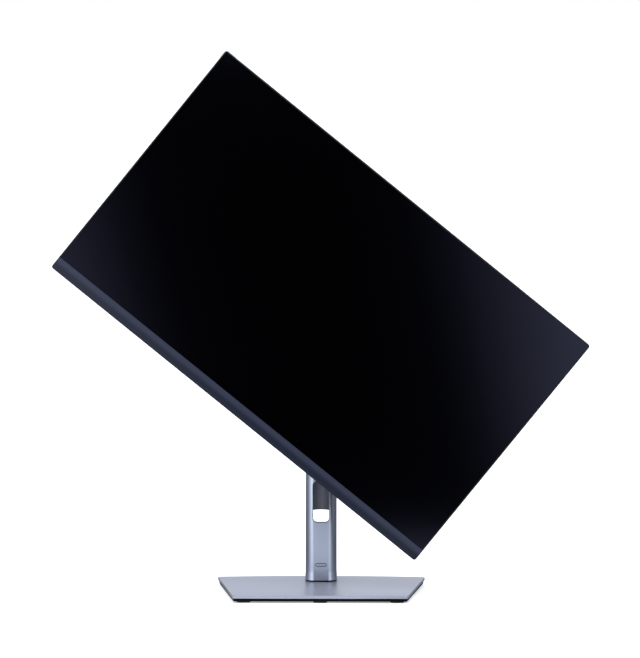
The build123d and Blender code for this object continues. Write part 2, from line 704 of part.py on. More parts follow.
def mount_plate():
    """Quick-release plate: hooks at the top, a catch below, scallops at the corners."""
    with BuildPart() as plate:
        with BuildSketch(facing(PLATE_BACK)):
            RectangleRounded(122.6, 122.6, 7)
            with GridLocations(VESA_PITCH, VESA_PITCH, 2, 2):
                Circle(9, mode=Mode.SUBTRACT)
            with GridLocations(VESA_PITCH + 14, VESA_PITCH + 14, 2, 2):
                Rectangle(14, 14, mode=Mode.SUBTRACT)
            Circle(15, mode=Mode.SUBTRACT)
        extrude(amount=PLATE_BACK - PLATE_FRONT)
        for x in (-HOOK_X, HOOK_X):
            block((x - 7, x + 7), (PLATE_FRONT, PLATE_BACK), (61, 66.5))
        disc_screws(1.6, -20, 0, Mode.SUBTRACT)
    return plate.part


def plate_screws():
    """Screws through the pivot disc into the mounting plate."""
    with BuildPart() as screws:
        disc_screws(1.58, -13.6, -8.8)
    return screws.part


# ---- display front ------------------------------------------------------------------
def chin_trim():
    """Trim strip under the screen: its front face rolls back towards the lower edge."""
    back = -48.6
    with BuildPart() as chin:
        with BuildSketch(Plane(origin=(-HALF_W, 0, 0), x_dir=(0, 1, 0), z_dir=(1, 0, 0))):
            with BuildLine():
                low, top = -HALF_H, CHIN_TOP
                Polyline((CHIN_FRONT, top), (back, top), (back, low), (CHIN_FRONT + 1.3, low))
                ThreePointArc((CHIN_FRONT + 1.3, low), (CHIN_FRONT + 0.3, low + 7), (CHIN_FRONT, top))
            make_face()
        extrude(amount=DISPLAY_WIDTH)
        corners = chin.edges().filter_by(Axis.Y).group_by(Axis.Z)[0]
        fillet(corners, CORNER_RADIUS)
    return chin.part


def screen_rim():
    """Thin frame round the screen: the rim in front and the seat of the rear cover."""
    with BuildPart() as rim:
        with BuildSketch(facing(COVER_JOINT)):
            RectangleRounded(DISPLAY_WIDTH, DISPLAY_HEIGHT, CORNER_RADIUS)
        extrude(amount=COVER_JOINT - RIM_FRONT)
        inside = HALF_W - RIM_WALL
        block((-inside, inside), (-60, 0), (CHIN_TOP, HALF_H - RIM_WALL), Mode.SUBTRACT)
        block((-300, 300), (-60, -48.5), (-200, CHIN_TOP), Mode.SUBTRACT)
        block((-HALF_W + 4, HALF_W - 4), (-46.5, 0), (-HALF_H + 2, CHIN_TOP - 1.6), Mode.SUBTRACT)
        front = rim.faces().sort_by(Axis.Y)[0]
        chamfer(front.edges().filter_by(Axis.X).group_by(Axis.Z)[-1], 0.4)
    return rim.part


def layer(width, low, top, front, back):
    """A flat sheet of the panel, between two depths."""
    with BuildPart() as sheet:
        block((-width / 2, width / 2), (front, back), (low, top))
    return sheet.part


def panel_tray():
    """Folded steel tray that carries the screen's layers."""
    wall = 0.8
    half = GLASS_WIDTH / 2 - 0.3
    with BuildPart() as tray:
        block((-half, half), (GLASS_BACK, TRAY_BACK), (GLASS_LOW + 0.2, GLASS_TOP - 0.3))
        hollow_x = (-half + wall, half - wall)
        hollow_z = (GLASS_LOW + 0.2 + wall, GLASS_TOP - 0.3 - wall)
        block(hollow_x, (-60, REFLECTOR_BACK), hollow_z, Mode.SUBTRACT)
        with BuildSketch(facing(TRAY_BACK)):
            with GridLocations(150, 90, 3, 2):
                SlotOverall(90, 6)
        extrude(amount=-0.8)
    return tray.part


def led_strip():
    """Circuit strip with the backlight's lamps, below the light guide."""
    with BuildPart() as strip:
        block((-262, 262), (SHEETS_BACK + 0.1, LIGHT_GUIDE_BACK - 0.1), (-142.9, -142.1))
        with BuildSketch(level(-142.1)):
            with Locations((0, (SHEETS_BACK + LIGHT_GUIDE_BACK) / 2)):
                with GridLocations(13, 1, 40, 1):
                    Rectangle(7, 1.6)
        extrude(amount=0.8)
    return strip.part


# ---- rear cover ---------------------------------------------------------------------
def cover_form(inset):
    """The rear cover's outer form, or with an inset its inside."""
    margin = 0.5 + inset
    back = SLAB_BACK - inset
    front = COVER_JOINT + (0.2 if inset == 0 else -1)
    with BuildPart(mode=Mode.PRIVATE) as form:
        with BuildSketch(facing(back)):
            RectangleRounded(DISPLAY_WIDTH - 2 * margin, DISPLAY_HEIGHT - 2 * margin, CORNER_RADIUS)
        extrude(amount=back - front)
        fillet(form.faces().sort_by(Axis.Y)[-1].edges(), 4.0)
        hump_top = HUMP_BACK - inset
        with BuildSketch(Plane(origin=(0, back - 2, 0), x_dir=(-1, 0, 0), z_dir=(0, 1, 0))):
            with Locations((0, (HUMP_TOP + HUMP_BOTTOM) / 2)):
                height = HUMP_TOP - HUMP_BOTTOM
                RectangleRounded(HUMP_WIDTH - 2 * inset, height - 2 * inset, 16)
        extrude(amount=hump_top - back + 2, taper=HUMP_TAPER)
        fillet(form.faces().sort_by(Axis.Y)[-1].edges(), 5.0)
        recess = RECESS_HALF + inset
        floor = RECESS_FLOOR - inset
        with BuildSketch(facing(5)):
            RectangleRounded(2 * recess, 2 * recess, 8)
        extrude(amount=5 - floor, mode=Mode.SUBTRACT)
        pocket = PORT_POCKET_HALF + inset
        shelf = PORT_SHELF + inset
        block((-pocket, pocket), (PORT_POCKET_FRONT - inset, 5), (-160, shelf), Mode.SUBTRACT)
    return form.part


def rear_cover():
    """Textured rear cover: slab, hump, recess for the stand, socket pocket and vents."""
    with BuildPart() as cover:
        add(cover_form(0))
        add(cover_form(COVER_WALL), mode=Mode.SUBTRACT)
        # threaded bosses reach through these holes
        with BuildSketch(facing(0)):
            with GridLocations(VESA_PITCH, VESA_PITCH, 2, 2):
                Circle(5.2)
        extrude(amount=20, mode=Mode.SUBTRACT)
        # slots for the mounting plate's hooks and for the latch
        for x in (-HOOK_X, HOOK_X):
            block((x - 7.6, x + 7.6), (PLATE_FRONT - 0.05, PLATE_BACK + 0.5), (61, 67), Mode.SUBTRACT)
        block((-12.4, 12.4), (-11.3, -9.1), (-67, -61), Mode.SUBTRACT)
        # openings for the sockets and the security lock
        for x, y, width, thick, _ in SOCKETS.values():
            half_w, half_t = width / 2 + SOCKET_GAP, thick / 2 + SOCKET_GAP
            block((x - half_w, x + half_w), (y - half_t, y + half_t), (-88, -80), Mode.SUBTRACT)
        block((LOCK_SLOT_X - 3.5, LOCK_SLOT_X + 3.5), (-19.5, -16.5), (-88, -80), Mode.SUBTRACT)
        # openings for the release button, the joystick and the power button
        with BuildSketch(facing(2)):
            with Locations((0, RELEASE_Z)):
                RectangleRounded(30.4, 9.4, 3.2)
        extrude(amount=12, mode=Mode.SUBTRACT)
        rod(7.4, (JOYSTICK_X, -40, CONTROLS_Z), (JOYSTICK_X, -30, CONTROLS_Z), Mode.SUBTRACT)
        rod(4.9, (POWER_BUTTON_X, -40, CONTROLS_Z), (POWER_BUTTON_X, -30, CONTROLS_Z), Mode.SUBTRACT)
        # vent slots in the hump's upper slope and in the slab above it
        with BuildSketch(facing(-20)):
            with Locations((0, 82)):
                with GridLocations(VENT_PITCH, 1, VENT_COUNT, 1):
                    SlotOverall(9, 2.4, rotation=90)
        extrude(amount=16, mode=Mode.SUBTRACT)
        with BuildSketch(facing(-30)):
            with Locations((0, 110)):
                with GridLocations(VENT_PITCH, 1, VENT_COUNT, 1):
                    SlotOverall(14, 2.4, rotation=90)
        extrude(amount=8, mode=Mode.SUBTRACT)
    return cover.part


# ---- display inside -----------------------------------------------------------------
def vesa_bracket():
    """Steel plate behind the recess, with four threaded bosses on a 100 mm square."""
    with BuildPart() as bracket:
        with BuildSketch(facing(-16.1)):
            RectangleRounded(120, 120, 5)
            Rectangle(60, 60, mode=Mode.SUBTRACT)
        extrude(amount=1.5)
        with BuildSketch(facing(VESA_BOSS_TOP)):
            with GridLocations(VESA_PITCH, VESA_PITCH, 2, 2):
                Circle(4.6)
        extrude(amount=VESA_BOSS_TOP + 17.6)
        with BuildSketch(facing(0)):
            with GridLocations(VESA_PITCH, VESA_PITCH, 2, 2):
                Circle(VESA_HOLE_RADIUS)
        extrude(amount=30, mode=Mode.SUBTRACT)
        block((-100.5, -58), (-17.6, -16.1), (-30, 30))
        for x in (-99.5, 59.5):
            block((x - 0.8, x + 0.8), (-36.8, -16.1), (-30, 30))
    return bracket.part


def board_shield():
    """Folded steel box over the circuit boards."""
    with BuildPart() as shield:
        block((-120, 120), (-44.7, -37.0), (-60, 66))
        block((-119.2, 119.2), (-50, -37.8), (-59.2, 65.2), Mode.SUBTRACT)
        with BuildSketch(facing(-36)):
            with GridLocations(20, 14, 9, 5):
                SlotOverall(12, 4)
        extrude(amount=4, mode=Mode.SUBTRACT)
    return shield.part


def circuit_board(x, z):
    """A board with a fixing hole in each corner."""
    with BuildPart() as board:
        block(x, (BOARD_Y, BOARD_Y + BOARD_THICKNESS), z)
        x_mid, z_mid = sum(x) / 2, sum(z) / 2
        with BuildSketch(facing(-20)):
            with Locations((x_mid, z_mid)):
                with GridLocations(x[1] - x[0] - 9, z[1] - z[0] - 9, 2, 2):
                    Circle(2.2)
        extrude(amount=20, mode=Mode.SUBTRACT)
    return board.part


def main_components():
    """Scaler chip with its heat sink, and smaller chips, on the main board."""
    face = BOARD_Y + BOARD_THICKNESS
    with BuildPart() as chips:
        for x, z, width, height, tall in MAIN_CHIPS:
            with Locations((x, face + tall / 2, z)):
                Box(width, tall, height)
    return chips.part


def hollow_socket(name, skin, depth, tongue):
    """A metal socket shell, open downwards, with a contact tongue inside."""
    x, y, width, thick, length = SOCKETS[name]
    face = PORT_SHELF - SOCKET_PROUD
    with BuildPart() as socket:
        half_w, half_t = width / 2, thick / 2
        block((x - half_w, x + half_w), (y - half_t, y + half_t), (face, face + length))
        fillet(socket.edges().filter_by(Axis.Z), min(0.8, thick / 8))
        inner = (x - half_w + skin, x + half_w - skin), (y - half_t + skin, y + half_t - skin)
        block(*inner, (face - 1, face + depth), Mode.SUBTRACT)
        if tongue:
            wide, thin, shift = tongue
            with Locations((x, y + shift, face + (0.6 + depth) / 2)):
                Box(wide, thin, depth - 0.6)
    return socket.part


def ac_inlet():
    """Three-pin mains inlet with a moulded body."""
    x, y, width, thick, length = SOCKETS["ac"]
    face = PORT_SHELF - SOCKET_PROUD
    with BuildPart() as inlet:
        block((x - width / 2, x + width / 2), (y - thick / 2, y + thick / 2), (face, face + length))
        fillet(inlet.edges().filter_by(Axis.Z), 1.5)
        block((x - 12, x + 12), (y - 8.2, y + 8.2), (face - 1, face + 16.5), Mode.SUBTRACT)
        for pin_x, pin_y in ((-7, -2.0), (0, 2.0), (7, -2.0)):
            pin = (x + pin_x - 1, x + pin_x + 1), (y + pin_y - 2, y + pin_y + 2)
            block(*pin, (face + 1.5, face + 17))
    return inlet.part


def usb_a_sockets():
    """Two flat downstream sockets."""
    with BuildPart() as sockets:
        add(hollow_socket("usb_a_1", 0.4, 11, (11.2, 1.9, -1.0)))
        add(hollow_socket("usb_a_2", 0.4, 11, (11.2, 1.9, -1.0)))
    return sockets.part


def ribbon_cable():
    """Flat flexible cable from the main board to the panel."""
    x = -52
    bends = [(BOARD_Y - 0.3, -62), (-38.5, -62), (-38.5, -90), (-44.6, -90), (-44.6, -126)]
    with BuildPart() as ribbon:
        with BuildLine():
            FilletPolyline(*[(x, y, z) for y, z in bends], radius=2.2)
        with BuildSketch(facing(BOARD_Y - 0.3)):
            with Locations((x, -62)):
                Rectangle(30, 0.4)
        sweep()
    return ribbon.part


# ---- controls -----------------------------------------------------------------------
def control_board():
    """Small board behind the controls, with the joystick's housing and a switch."""
    x, z = JOYSTICK_X, CONTROLS_Z
    with BuildPart() as board:
        block((POWER_BUTTON_X - 10, x + 10), (-44.6, -43.4), (z - 7, z + 7))
        block((x - 7, x + 7), (-43.4, -39.2), (z - 7, z + 7))
        rod(5.4, (x, -42.8, z), (x, -39, z), Mode.SUBTRACT)
        rod(0.55, (x, JOYSTICK_PINS_Y, z - 6.4), (x, JOYSTICK_PINS_Y, z + 6.4), Mode.SUBTRACT)
        block((POWER_BUTTON_X - 3, POWER_BUTTON_X + 3), (-43.4, -40.4), (z - 3, z + 3))
    return board.part


def joystick_ring():
    """Gimbal ring of the joystick, which rocks sideways on two upright pins."""
    x, z = JOYSTICK_X, CONTROLS_Z
    with BuildPart() as ring:
        rod(4.8, (x, -41.6, z), (x, -40.0, z))
        rod(0.5, (x, JOYSTICK_PINS_Y, z - 6.2), (x, JOYSTICK_PINS_Y, z + 6.2))
        rod(3.4, (x, -50, z), (x, -30, z), Mode.SUBTRACT)
        rod(0.55, (x - 4.4, JOYSTICK_PINS_Y, z), (x + 4.4, JOYSTICK_PINS_Y, z), Mode.SUBTRACT)
    return ring.part


def joystick_stem():
    """Stem of the joystick, which rocks up and down on two level pins in the ring."""
    x, z = JOYSTICK_X, CONTROLS_Z
    with BuildPart() as stem:
        rod(2.4, (x, -41.6, z), (x, -40.0, z))
        rod(0.5, (x - 4.2, JOYSTICK_PINS_Y, z), (x + 4.2, JOYSTICK_PINS_Y, z))
        rod(1.2, (x, -40.0, z), (x, -34.4, z))
    return stem.part


def joystick_cap():
    """Ribbed cap on the joystick's stem."""
    x, z = JOYSTICK_X, CONTROLS_Z
    with BuildPart() as cap:
        rod(5.4, (x, -37.0, z), (x, -30.4, z))
        fillet(cap.faces().sort_by(Axis.Y)[-1].edges(), 1.4)
        rod(1.25, (x, -38, z), (x, -33.2, z), Mode.SUBTRACT)
        rod(2.2, (x, -30.9, z), (x, -30, z), Mode.SUBTRACT)
    return cap.part


def power_button():
    """Round power button in its own hole."""
    x, z = POWER_BUTTON_X, CONTROLS_Z
    with BuildPart() as button:
        rod(4.5, (x, -37.4, z), (x, -33.1, z))
        fillet(button.faces().sort_by(Axis.Y)[-1].edges(), 0.5)
        rod(6.2, (x, -38.6, z), (x, -37.2, z))
        rod(1.4, (x, -39.0, z), (x, -38.6, z))
    return button.part


def release_button():
    """Button below the recess that frees the stand's plate."""
    with BuildPart() as button:
        with BuildSketch(facing(-2.2)):
            with Locations((0, RELEASE_Z)):
                RectangleRounded(29.6, 8.6, 2.8)
        extrude(amount=6.6)
        fillet(button.faces().sort_by(Axis.Y)[-1].edges(), 0.7)
        block((-17, 17), (-9.6, -8.6), (RELEASE_Z - 5.6, RELEASE_Z + 5.6))
        block((-6, 6), (-13.0, -9.6), (RELEASE_Z - 3, RELEASE_Z + 1))
    return button.part


def latch():
    """Spring latch that holds the mounting plate's lower edge."""
    with BuildPart() as hook:
        block((-12, 12), (-11.1, -9.7), (-65.4, -59.4))
        block((-12, 12), (-17.4, -9.7), (-66.8, -65.4))
        block((-12, 12), (-17.4, -16.2), (-71.8, -65.4))
        chamfer(hook.faces().sort_by(Axis.Z)[-1].edges().filter_by(Axis.X).sort_by(Axis.Y)[-1], 1.0)
    return hook.part


# ---- build and save -----------------------------------------------------------------
os.makedirs("parts", exist_ok=True)

for maker in (
    base_plate,
    base_under_cover,
    base_feet,
    under_cover_screws,
    swivel_bush,
    swivel_spindle,
    swivel_retainer,
    swivel_washer,
    thumb_screw,
    thumb_screw_ring,
    riser_front_shell,
    riser_rear_cover,
    riser_top_cap,
    riser_foot_gasket,
    rail_frame,
    cable_passage_liner,
    blank_badge,
):
    save(maker(), maker.__name__)

for maker in (
    carriage,
    glide_shoes,
    spring_axle,
    spring_drum,
    lift_spring_strips,
    tilt_axle,
    tilt_washers,
    tilt_nuts,
    tilt_bracket,
    pivot_shaft,
    pivot_nut,
    pivot_washer,
):
    save_head(maker(), maker.__name__)
save_head(head_cover(upper=True), "head_cover_upper")
save_head(head_cover(upper=False), "head_cover_lower")

for maker in (
    pivot_disc,
    mount_plate,
    plate_screws,
    chin_trim,
    screen_rim,
    panel_tray,
    led_strip,
    rear_cover,
    vesa_bracket,
    board_shield,
    main_components,
    ac_inlet,
    usb_a_sockets,
    ribbon_cable,
    control_board,
    joystick_ring,
    joystick_stem,
    joystick_cap,
    power_button,
    release_button,
    latch,
):
    save_display(maker(), maker.__name__)
save_display(layer(GLASS_WIDTH, GLASS_LOW, GLASS_TOP, GLASS_FRONT, GLASS_BACK), "lcd_glass")
save_display(layer(528.6, -140, 155, GLASS_BACK, SHEETS_BACK), "optical_sheets")
save_display(layer(527, -141, 154.5, SHEETS_BACK, LIGHT_GUIDE_BACK), "light_guide")
save_display(circuit_board(MAIN_BOARD_X, (-82, 52)), "main_board")
save_display(circuit_board(POWER_BOARD_X, (-82, 52)), "power_board")
save_display(hollow_socket("hdmi", 0.4, 9, (10.6, 1.2, 0.4)), "hdmi_socket")
save_display(hollow_socket("display", 0.4, 10, (11.4, 1.3, 0.4)), "display_socket")
save_display(hollow_socket("usb_b", 0.5, 12, (5.6, 3.2, 0)), "usb_b_socket")
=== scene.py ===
import math

import bmesh
import bpy
from mathutils import Matrix, Vector

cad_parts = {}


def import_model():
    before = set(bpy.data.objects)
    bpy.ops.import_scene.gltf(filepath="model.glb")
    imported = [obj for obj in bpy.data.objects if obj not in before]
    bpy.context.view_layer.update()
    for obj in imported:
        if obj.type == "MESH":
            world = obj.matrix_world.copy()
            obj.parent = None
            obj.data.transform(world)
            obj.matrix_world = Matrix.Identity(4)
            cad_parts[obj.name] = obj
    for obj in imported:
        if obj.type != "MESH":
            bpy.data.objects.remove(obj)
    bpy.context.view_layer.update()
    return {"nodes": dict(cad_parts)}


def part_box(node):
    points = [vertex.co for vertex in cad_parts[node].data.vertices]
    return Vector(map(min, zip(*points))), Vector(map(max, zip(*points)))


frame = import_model()
nodes = frame["nodes"]
scene = bpy.context.scene

MM = 0.001
WHITE = (1, 1, 1)
BLACK = (0, 0, 0)

# The display at rest: turned clockwise from landscape, in degrees.
REST_TURN = 39.0
# The glass, its lit area and the chin under it.
ACTIVE_WIDTH = 527.04 * MM
ACTIVE_HEIGHT = 296.46 * MM
GLASS_HEIGHT = 302.5 * MM
CHIN_HEIGHT = 15.5 * MM


# ---- shader helpers -----------------------------------------------------------------
class Graph:
    """A thin wrapper that adds and links shader nodes."""

    def __init__(self, tree):
        self.nodes = tree.nodes
        self.links = tree.links

    def add(self, kind, inputs=None, **settings):
        node = self.nodes.new(kind)
        for key, value in settings.items():
            setattr(node, key, value)
        for key, value in (inputs or {}).items():
            self.put(node.inputs[key], value)
        return node

    def put(self, socket, value):
        """Link a socket to an input, or set the input's own value."""
        if isinstance(value, bpy.types.NodeSocket):
            self.links.new(value, socket)
        else:
            socket.default_value = value

    def place(self):
        """The place on the piece, in its own coordinates."""
        return self.add("ShaderNodeTexCoord").outputs["Object"]

    def noise(self, place, scale, detail, roughness=0.5):
        inputs = {"Vector": place, "Scale": scale, "Detail": detail, "Roughness": roughness}
        return self.add("ShaderNodeTexNoise", inputs).outputs["Fac"]

    def math(self, operation, a, b=0.0, clamp=False):
        node = self.add("ShaderNodeMath", {0: a, 1: b}, operation=operation)
        node.use_clamp = clamp
        return node.outputs[0]

    def mix_colour(self, factor, a, b, blend="MIX"):
        node = self.add("ShaderNodeMix", data_type="RGBA", blend_type=blend)
        self.put(node.inputs[0], factor)
        self.put(node.inputs[6], a)
        self.put(node.inputs[7], b)
        return node.outputs[2]

    def ramp(self, factor, stops, interpolation="EASE"):
        node = self.add("ShaderNodeValToRGB", {"Fac": factor})
        ramp = node.color_ramp
        ramp.interpolation = interpolation
        while len(ramp.elements) < len(stops):
            ramp.elements.new(0.5)
        for element, (position, colour) in zip(ramp.elements, stops):
            element.position = position
            element.color = rgba(colour)
        return node.outputs["Color"]


def rgba(colour):
    """A colour with alpha, from a grey level or from red, green and blue."""
    if isinstance(colour, (int, float)):
        colour = (colour, colour, colour)
    return (*colour, 1.0)


def shade(colour, factor):
    return tuple(min(1.0, channel * factor) for channel in colour)


def empty_graph(owner):
    """Turn on the shader nodes of a material or world, and clear them."""
    owner.use_nodes = True
    owner.node_tree.nodes.clear()
    return Graph(owner.node_tree)


def new_material(name):
    material = bpy.data.materials.new(name)
    graph = empty_graph(material)
    output = graph.add("ShaderNodeOutputMaterial")
    shader = graph.add("ShaderNodeBsdfPrincipled")
    graph.links.new(shader.outputs[0], output.inputs[0])
    return material, graph, shader


# ---- surfaces -----------------------------------------------------------------------
BROAD_SCALE = 14.0
FLAKE_SIZE = 0.22 * MM
FLAKE_LIFT = 1.5
EDGE_SOFTNESS = 0.35 * MM
EDGE_WEAR = 0.18
WEAR_LIFT = 1.35
WEAR_POLISH = 0.2
GRAIN_STRENGTH = 0.5
# How much of a flake, a worn corner and a worn patch shows, for each level of its texture.
FLAKE_STOPS = [(0.86, 0.0), (0.95, 1.0)]
CORNER_STOPS = [(0.03, 0.0), (0.25, 1.0)]
PATCH_STOPS = [(0.40, 0.2), (0.60, 1.0)]


def surface(name, colour, metallic=0.0, roughness=0.5, grain=0.4, depth=0.02, variation=0.08,
            stretch=(1, 1, 1), specular=0.5, smudge=0.08, flakes=0.0, across=None):
    """A moulded, painted or metal surface.

    Grain is the size of its texture and depth the height, both in mm. Smudge is how far its
    roughness wanders. Across is a function that changes the colour over the piece.
    """
    material, g, shader = new_material(name)
    place = g.place()
    stretched = g.add("ShaderNodeMapping", {"Vector": place, "Scale": stretch}).outputs[0]
    fine = g.noise(stretched, 1.0 / (grain * MM), detail=3.0, roughness=0.6)
    broad = g.noise(place, BROAD_SCALE, detail=4.0, roughness=0.55)
    tint = g.ramp(fine, [(0.3, shade(colour, 1 - variation)), (0.7, shade(colour, 1 + variation))])
    tone = g.ramp(broad, [(0.35, shade(WHITE, 1 - variation * 0.5)), (0.65, WHITE)])
    result = g.mix_colour(1.0, tint, tone, "MULTIPLY")
    if flakes:
        cells = g.add("ShaderNodeTexVoronoi", {"Vector": place, "Scale": 1.0 / FLAKE_SIZE})
        spark = g.ramp(cells.outputs["Color"], FLAKE_STOPS)
        result = g.mix_colour(g.math("MULTIPLY", spark, flakes), result, rgba(shade(colour, FLAKE_LIFT)))
    # Edges are rounded a little and worn brighter in patches.
    soft_edge = g.add("ShaderNodeBevel", {"Radius": EDGE_SOFTNESS}, samples=4).outputs[0]
    true_normal = g.add("ShaderNodeNewGeometry").outputs["Normal"]
    agreement = g.add("ShaderNodeVectorMath", {0: soft_edge, 1: true_normal}, operation="DOT_PRODUCT")
    corner = g.ramp(g.math("SUBTRACT", 1.0, agreement.outputs["Value"]), CORNER_STOPS)
    patchy = g.ramp(broad, PATCH_STOPS)
    worn = g.math("MULTIPLY", g.math("MULTIPLY", corner, patchy), EDGE_WEAR)
    result = g.mix_colour(worn, result, rgba(shade(colour, WEAR_LIFT)))
    if across:
        result = across(g, place, result)
    g.put(shader.inputs["Base Color"], result)
    rough = g.math("ADD", roughness - smudge / 2, g.math("MULTIPLY", broad, smudge))
    rough = g.math("SUBTRACT", rough, g.math("MULTIPLY", worn, WEAR_POLISH), clamp=True)
    g.put(shader.inputs["Roughness"], rough)
    shader.inputs["Metallic"].default_value = metallic
    shader.inputs["Specular IOR Level"].default_value = specular
    bump = g.add("ShaderNodeBump", {"Height": fine, "Strength": GRAIN_STRENGTH, "Distance": depth * MM,
                                    "Normal": soft_edge})
    g.put(shader.inputs["Normal"], bump.outputs[0])
    return material


def display_place(g, place):
    """A place in the display's own landscape frame, measured from the middle of its glass."""
    low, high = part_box("lcd_glass")
    from_centre = g.add("ShaderNodeMapping", {"Vector": place, "Location": tuple(-(low + high) / 2)},
                        vector_type="POINT").outputs[0]
    landscape = g.add("ShaderNodeVectorRotate", {"Vector": from_centre, "Axis": (0, 1, 0),
                                                 "Angle": -math.radians(REST_TURN)},
                      rotation_type="AXIS_ANGLE").outputs[0]
    return g.add("ShaderNodeSeparateXYZ", {"Vector": landscape}).outputs


# The chin's painted light: a paler colour painted onto its skin towards the screen.
CHIN_PAINTED_LIGHT = (0.020, 0.024, 0.048)
# How much painted light the chin's colour takes at each share of its height, from its outer edge to the
# screen.
CHIN_PAINTED_LIGHT_STOPS = [(0.40, 0.0), (0.72, 1.0)]


def chin_painted_shading(g, place, colour):
    """Painted light: the chin's colour is painted paler towards the screen, standing in for the light its
    satin skin catches there.
    """
    height = display_place(g, place)["Z"]
    share = g.math("DIVIDE", g.math("ADD", height, GLASS_HEIGHT / 2 + CHIN_HEIGHT), CHIN_HEIGHT)
    pale = g.ramp(share, CHIN_PAINTED_LIGHT_STOPS, "LINEAR")
    return g.mix_colour(pale, colour, rgba(CHIN_PAINTED_LIGHT))


BRICK_SIZE = 14 * MM
PAD_PITCH = 7 * MM
PAD_RADIUS = 0.12
PAD_METAL = (0.6, 0.58, 0.5)
PAD_POLISH = 0.15
TRACK_GAP = 0.035
MASK_SHADE = 0.85
MASK_ROUGHNESS = 0.42
MASK_DEPTH = 0.03 * MM
MASK_STRENGTH = 0.4


def board_material(name, mask, track):
    """Circuit board: solder mask over thin tracks, with bright pads."""
    material, g, shader = new_material(name)
    upright = g.add("ShaderNodeMapping", {"Vector": g.place(), "Rotation": (math.pi / 2, 0, 0)}).outputs[0]
    brick = g.add("ShaderNodeTexBrick", {"Vector": upright, "Scale": 1.0 / BRICK_SIZE,
                                         "Mortar Size": TRACK_GAP, "Color1": rgba(mask),
                                         "Color2": rgba(shade(mask, MASK_SHADE)), "Mortar": rgba(track)})
    pads = g.add("ShaderNodeTexVoronoi", {"Vector": upright, "Scale": 1.0 / PAD_PITCH})
    pad = g.math("LESS_THAN", pads.outputs["Distance"], PAD_RADIUS)
    g.put(shader.inputs["Base Color"], g.mix_colour(pad, brick.outputs["Color"], rgba(PAD_METAL)))
    rough = g.math("SUBTRACT", MASK_ROUGHNESS, g.math("MULTIPLY", pad, PAD_POLISH))
    g.put(shader.inputs["Roughness"], rough)
    bump = g.add("ShaderNodeBump", {"Height": brick.outputs["Fac"], "Strength": MASK_STRENGTH,
                                    "Distance": MASK_DEPTH})
    g.put(shader.inputs["Normal"], bump.outputs[0])
    return material


FILM_GRAIN = 0.25 * MM
FILM_DEPTH = 0.002 * MM
FILM_STRENGTH = 0.2
FILM_DARK = (0.0001, 0.0001, 0.0002)
FILM_LIGHT = (0.0003, 0.0003, 0.0004)
FILM_ROUGHNESS = 0.12
FILM_HAZE = 0.03
HAZE_SCALE = 3.0
FILM_SPECULAR = 0.42
FILM_TINT = (0.61, 0.64, 1.0)
BORDER_BLACK = (0.0001, 0.0001, 0.0001)


def screen_material():
    """Switched-off panel: an anti-glare film over near-black layers, with a blacker border."""
    material, g, shader = new_material("anti_glare_screen")
    place = g.place()
    grain = g.noise(place, 1.0 / FILM_GRAIN, detail=2.0)
    haze = g.noise(place, HAZE_SCALE, detail=2.0)
    landscape = display_place(g, place)
    edge_x = g.math("GREATER_THAN", g.math("ABSOLUTE", landscape["X"]), ACTIVE_WIDTH / 2)
    edge_z = g.math("GREATER_THAN", g.math("ABSOLUTE", landscape["Z"]), ACTIVE_HEIGHT / 2)
    border = g.math("MAXIMUM", edge_x, edge_z)
    film = g.ramp(grain, [(0.3, FILM_DARK), (0.7, FILM_LIGHT)])
    g.put(shader.inputs["Base Color"], g.mix_colour(border, film, rgba(BORDER_BLACK)))
    g.put(shader.inputs["Roughness"], g.math("ADD", FILM_ROUGHNESS, g.math("MULTIPLY", haze, FILM_HAZE)))
    shader.inputs["Specular IOR Level"].default_value = FILM_SPECULAR
    shader.inputs["Specular Tint"].default_value = rgba(FILM_TINT)
    bump = g.add("ShaderNodeBump", {"Height": grain, "Strength": FILM_STRENGTH, "Distance": FILM_DEPTH})
    g.put(shader.inputs["Normal"], bump.outputs[0])
    return material


# ---- materials and the pieces that wear them ----------------------------------------
def dress(material, *names):
    for name in names:
        slots = nodes[name].data.materials
        for index in range(len(slots)):
            slots[index] = material
        if not len(slots):
            slots.append(material)


dress(surface("silver_paint", (0.61, 0.665, 0.79), metallic=0.97, roughness=0.30, grain=0.35, depth=0.006,
              variation=0.07, smudge=0.06, flakes=0.35),
      "riser_front_shell", "riser_rear_cover", "riser_top_cap")
dress(surface("base_paint", (0.42, 0.435, 0.53), metallic=0.6, roughness=0.36, grain=0.35, depth=0.006,
              variation=0.07, smudge=0.06, flakes=0.35),
      "base_plate")
dress(surface("under_plastic", (0.002, 0.002, 0.003), roughness=0.35, grain=0.5, depth=0.004, specular=0.1),
      "base_under_cover", "ac_inlet")
dress(surface("foot_rubber", (0.03, 0.03, 0.032), roughness=0.8, grain=0.8, depth=0.04, variation=0.2),
      "base_feet")
dress(surface("gap_rubber", (0.004, 0.004, 0.007), roughness=0.7, grain=0.8, depth=0.02, specular=0.15),
      "riser_foot_gasket")
